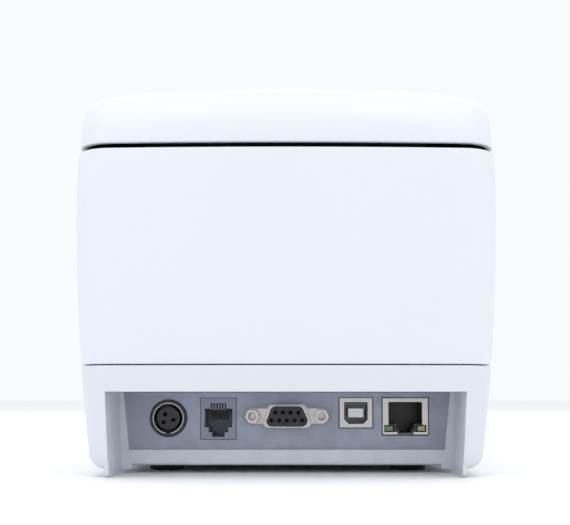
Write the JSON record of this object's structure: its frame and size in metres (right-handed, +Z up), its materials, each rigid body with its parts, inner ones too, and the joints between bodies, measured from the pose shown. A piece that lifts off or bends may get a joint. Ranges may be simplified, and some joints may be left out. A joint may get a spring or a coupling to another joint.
{
  "type": "receipt printer",
  "caption": "Desktop thermal receipt printer with a domed hinged lid over a drop-in roll bin, automatic cutter and a recessed rear panel of power, cash drawer, serial, USB and network sockets.",
  "frame": {"origin": "centre of the bounding box in plan, at the height of the surface it stands on", "axes": "+X to the right seen from the front, +Y towards the rear with the sockets, +Z up"},
  "size_m": [0.1472, 0.1901, 0.1429],
  "materials": {
    "base_plastic": "fine satin",
    "case_plastic": "fine satin",
    "dark_plastic": "matte",
    "foot_rubber": "matte",
    "zinc_screw": "zinc plated",
    "panel_paint": "matte paint",
    "board_green": "solder mask",
    "component_black": "moulded",
    "socket_black": "satin",
    "nickel": "nickel plated",
    "jack_grey": "satin",
    "contact_gold": "gold flash",
    "tongue_white": "satin",
    "lamp_green": "clear tinted",
    "frame_steel": "galvanised",
    "blade_steel": "ground",
    "motor_can": "satin",
    "spring_steel": "wire",
    "ribbon_film": "film",
    "panel_grey": "satin",
    "lens_clear": "clear",
    "button_grey": "satin",
    "platen_rubber": "ground",
    "gear_nylon": "satin",
    "pinion_brass": "machined",
    "head_aluminium": "extruded",
    "head_ceramic": "glazed",
    "cutter_steel": "machined",
    "wheel_blue": "satin"
  },
  "bodies": {
    "printer": {"base_housing": "base_plastic", "upper_housing": "case_plastic", "chassis": "dark_plastic", "rubber_feet": "foot_rubber", "case_screws": "zinc_screw", "inner_screws": "zinc_screw", "interface_panel": "panel_paint", "main_board": "board_green", "board_components": "component_black", "power_jack": "socket_black", "power_jack_shield": "nickel", "drawer_jack": "jack_grey", "drawer_jack_contacts": "contact_gold", "serial_port_shell": "nickel", "serial_port_insulator": "socket_black", "serial_jackscrews": "nickel", "usb_port_shell": "nickel", "usb_port_tongue": "tongue_white", "lan_port_shell": "nickel", "lan_port_insert": "socket_black", "lan_port_lamps": "lamp_green", "mech_frame": "frame_steel", "feed_motor": "motor_can", "idler_pin": "zinc_screw", "cutter_frame": "frame_steel", "cutter_motor": "motor_can", "hinge_pins": "zinc_screw", "head_springs": "spring_steel", "head_ribbon": "ribbon_film", "control_panel": "panel_grey", "panel_board": "board_green", "status_lenses": "lens_clear", "power_switch_body": "socket_black", "near_end_sensor": "dark_plastic", "paper_guide": "dark_plastic", "release_spring": "spring_steel"},
    "lid": {"lid_cover": "case_plastic", "lid_bosses": "case_plastic", "lid_frame": "dark_plastic", "lid_screws": "zinc_screw", "platen_bearings": "gear_nylon", "fixed_blade": "blade_steel"},
    "front_cover": {"front_cover": "case_plastic", "tear_bar": "blade_steel"},
    "platen": {"platen_roller": "platen_rubber", "platen_shaft": "blade_steel", "platen_gear": "gear_nylon"},
    "idler_gear": {"idler_gear": "gear_nylon"},
    "motor_pinion": {"motor_pinion": "pinion_brass"},
    "print_head": {"thermal_head": "head_aluminium", "head_substrate": "head_ceramic"},
    "cutter_drive": {"cutter_shaft": "cutter_steel", "cutter_thumbwheel": "wheel_blue"},
    "moving_blade": {"moving_blade": "blade_steel"},
    "cutter_pinion": {"cutter_pinion": "pinion_brass"},
    "lid_lock": {"lock_hooks": "frame_steel"},
    "release_button": {"release_button": "button_grey"},
    "feed_button": {"feed_button": "button_grey"},
    "power_rocker": {"power_rocker": "socket_black"}
  },
  "joints": [
    {"name": "lid_hinge", "type": "hinge", "parent": "printer", "child": "lid", "pos_m": [0, 0.0844, 0.1214], "axis": [-1, 0, 0], "range_deg": [0, 95]},
    {"name": "platen_spin", "type": "hinge", "parent": "lid", "child": "platen", "pos_m": [0, -0.054, 0.112], "axis": [1, 0, 0], "continuous": true},
    {"name": "idler_spin", "type": "hinge", "parent": "printer", "child": "idler_gear", "pos_m": [-0.055, -0.04966, 0.09515], "axis": [1, 0, 0], "continuous": true},
    {"name": "motor_spin", "type": "hinge", "parent": "printer", "child": "motor_pinion", "pos_m": [-0.055, -0.036, 0.08], "axis": [1, 0, 0], "continuous": true},
    {"name": "head_tilt", "type": "hinge", "parent": "printer", "child": "print_head", "pos_m": [0, -0.068, 0.099], "axis": [1, 0, 0], "range_deg": [0, 2], "stiffness_Nm_per_rad": 4, "springref_deg": -2.86, "deforming": ["head_springs"]},
    {"name": "cutter_turn", "type": "hinge", "parent": "printer", "child": "cutter_drive", "pos_m": [0, -0.075, 0.11605], "axis": [-1, 0, 0], "range_deg": [0, 68.3]},
    {"name": "blade_slide", "type": "slide", "parent": "printer", "child": "moving_blade", "axis": [0, 1, 0], "range_m": [0, 0.005]},
    {"name": "cutter_motor_turn", "type": "hinge", "parent": "printer", "child": "cutter_pinion", "pos_m": [0.05, -0.081, 0.1078], "axis": [1, 0, 0], "range_deg": [0, 100]},
    {"name": "release_push", "type": "slide", "parent": "printer", "child": "release_button", "axis": [-1, 0, 0], "range_m": [0, 0.003], "stiffness_N_per_m": 600, "springref_m": -0.002, "deforming": ["release_spring"]},
    {"name": "lock_turn", "type": "hinge", "parent": "printer", "child": "lid_lock", "pos_m": [0, -0.045, 0.098], "axis": [-1, 0, 0], "range_deg": [0, 13.2]},
    {"name": "feed_press", "type": "slide", "parent": "printer", "child": "feed_button", "axis": [0, 1, 0], "range_m": [0, 0.0008], "stiffness_N_per_m": 900, "springref_m": -0.0008},
    {"name": "power_rock", "type": "hinge", "parent": "printer", "child": "power_rocker", "pos_m": [-0.0682, -0.05, 0.021], "axis": [0, 0, 1], "range_deg": [0, 16]},
    {"name": "cover_slide", "type": "slide", "parent": "printer", "child": "front_cover", "axis": [0, -1, 0], "range_m": [0, 0.012]}
  ],
  "couplings": [
    {"joint": "idler_spin", "follows": "platen_spin", "ratio": -1.0714},
    {"joint": "motor_spin", "follows": "platen_spin", "ratio": 4.1327},
    {"joint": "cutter_turn", "follows": "blade_slide", "rad_per_m": 238.1},
    {"joint": "cutter_motor_turn", "follows": "blade_slide", "rad_per_m": 340.14},
    {"joint": "lock_turn", "follows": "release_push", "rad_per_m": 75.631}
  ]
}
